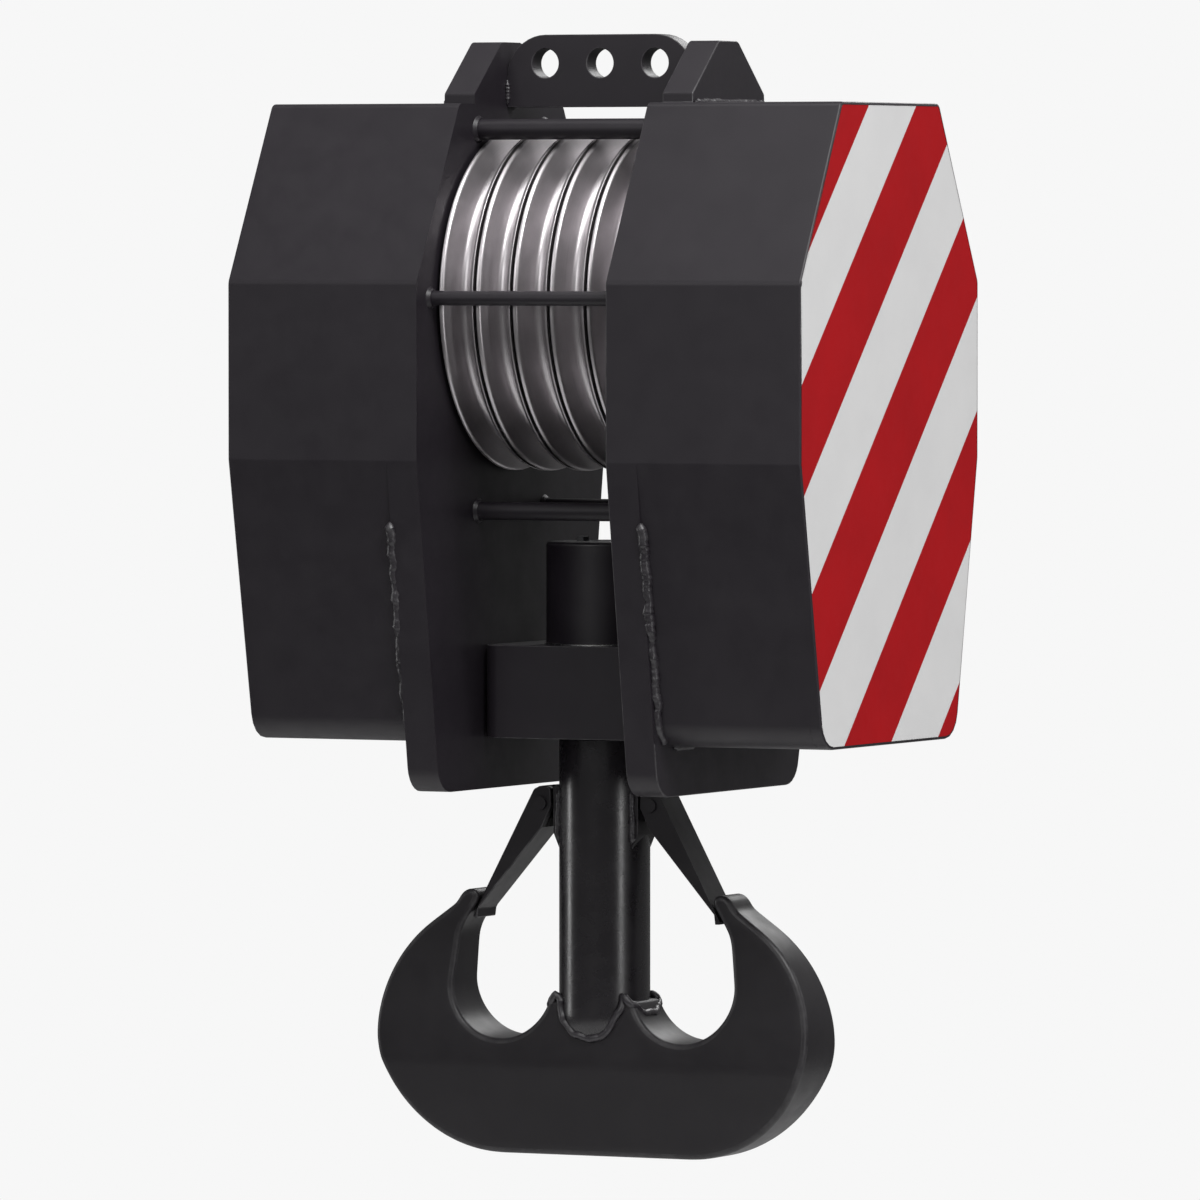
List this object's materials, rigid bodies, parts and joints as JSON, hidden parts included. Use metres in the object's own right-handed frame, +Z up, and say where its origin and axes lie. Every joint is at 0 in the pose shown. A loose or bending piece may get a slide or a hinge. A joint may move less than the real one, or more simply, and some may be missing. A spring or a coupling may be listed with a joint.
{
  "type": "crane hook block",
  "caption": "Crane hook block: rope sheaves between side plates, weighted striped cheeks, a tilting crosshead and a swivelling double hook with sprung safety latches.",
  "frame": {"origin": "middle of the sheave axle, where the hoist ropes carry the block", "axes": "+X along the sheave axle, +Y to the back, +Z up; the hook hangs towards -Z"},
  "size_m": [1.03, 0.698, 1.8405],
  "materials": {
    "frame_paint": "satin charcoal paint",
    "stripe_paint": "satin white paint with red stripes",
    "hook_paint": "satin black paint on a forging",
    "nut_paint": "satin black paint",
    "sheave_steel": "turned, satin",
    "bearing_steel": "ground",
    "fastener_steel": "dark zinc",
    "spring_steel": "drawn wire",
    "ballast_steel": "raw plate",
    "bronze": "turned bronze"
  },
  "bodies": {
    "frame": {"side_plate_left": "frame_paint", "side_plate_right": "frame_paint", "anchor_plate": "frame_paint", "cheek_casing_left": "frame_paint", "cheek_casing_right": "frame_paint", "cheek_cover_left": "stripe_paint", "cheek_cover_right": "stripe_paint", "ballast_slabs_left": "ballast_steel", "ballast_slabs_right": "ballast_steel", "ballast_studs_left": "fastener_steel", "ballast_studs_right": "fastener_steel", "top_guard_front": "frame_paint", "top_guard_back": "frame_paint", "middle_guard_front": "frame_paint", "middle_guard_back": "frame_paint", "tie_rod_front": "frame_paint", "tie_rod_back": "frame_paint", "rod_collars": "frame_paint", "sheave_axle": "bearing_steel", "axle_keepers": "fastener_steel", "keeper_bolts": "fastener_steel", "axle_spacers": "fastener_steel", "grease_nipples": "bronze", "bearing_inner_rings": "bearing_steel", "bearing_rollers": "bearing_steel", "trunnion_bushes": "bronze"},
    "sheave_1": {"sheave_1": "sheave_steel", "bearing_outer_1": "bearing_steel", "bearing_clips_1": "fastener_steel"},
    "sheave_2": {"sheave_2": "sheave_steel", "bearing_outer_2": "bearing_steel", "bearing_clips_2": "fastener_steel"},
    "sheave_3": {"sheave_3": "sheave_steel", "bearing_outer_3": "bearing_steel", "bearing_clips_3": "fastener_steel"},
    "sheave_4": {"sheave_4": "sheave_steel", "bearing_outer_4": "bearing_steel", "bearing_clips_4": "fastener_steel"},
    "sheave_5": {"sheave_5": "sheave_steel", "bearing_outer_5": "bearing_steel", "bearing_clips_5": "fastener_steel"},
    "crosshead": {"crosshead": "frame_paint", "trunnion_caps": "fastener_steel", "cap_bolts": "fastener_steel", "thrust_race_lower": "bearing_steel", "thrust_balls": "bearing_steel"},
    "hook": {"hook": "hook_paint", "hook_nut": "nut_paint", "thrust_race_upper": "bearing_steel", "nut_lock_plate": "fastener_steel", "nut_lock_bolts": "fastener_steel", "latch_bracket_left": "hook_paint", "latch_bracket_right": "hook_paint", "latch_pin_left": "hook_paint", "latch_pin_right": "hook_paint", "latch_spring_left": "spring_steel", "latch_spring_right": "spring_steel"},
    "latch_left": {"latch_left": "hook_paint"},
    "latch_right": {"latch_right": "hook_paint"}
  },
  "joints": [
    {"name": "sheave_1_spin", "type": "hinge", "parent": "frame", "child": "sheave_1", "pos_m": [0, 0, 0], "axis": [1, 0, 0], "continuous": true},
    {"name": "sheave_2_spin", "type": "hinge", "parent": "frame", "child": "sheave_2", "pos_m": [0, 0, 0], "axis": [1, 0, 0], "continuous": true},
    {"name": "sheave_3_spin", "type": "hinge", "parent": "frame", "child": "sheave_3", "pos_m": [0, 0, 0], "axis": [1, 0, 0], "continuous": true},
    {"name": "sheave_4_spin", "type": "hinge", "parent": "frame", "child": "sheave_4", "pos_m": [0, 0, 0], "axis": [1, 0, 0], "continuous": true},
    {"name": "sheave_5_spin", "type": "hinge", "parent": "frame", "child": "sheave_5", "pos_m": [0, 0, 0], "axis": [1, 0, 0], "continuous": true},
    {"name": "crosshead_tilt", "type": "hinge", "parent": "frame", "child": "crosshead", "pos_m": [0, 0, -0.64], "axis": [1, 0, 0], "range_deg": [-45, 45]},
    {"name": "hook_swivel", "type": "hinge", "parent": "crosshead", "child": "hook", "pos_m": [0, 0, -0.64], "axis": [0, 0, 1], "continuous": true},
    {"name": "latch_left_open", "type": "hinge", "parent": "hook", "child": "latch_left", "pos_m": [-0.1, 0, -0.826], "axis": [0, -1, 0], "range_deg": [0, 28], "stiffness_Nm_per_rad": 10, "springref_deg": -28.65},
    {"name": "latch_right_open", "type": "hinge", "parent": "hook", "child": "latch_right", "pos_m": [0.1, 0, -0.826], "axis": [0, 1, 0], "range_deg": [0, 28], "stiffness_Nm_per_rad": 10, "springref_deg": -28.65}
  ]
}
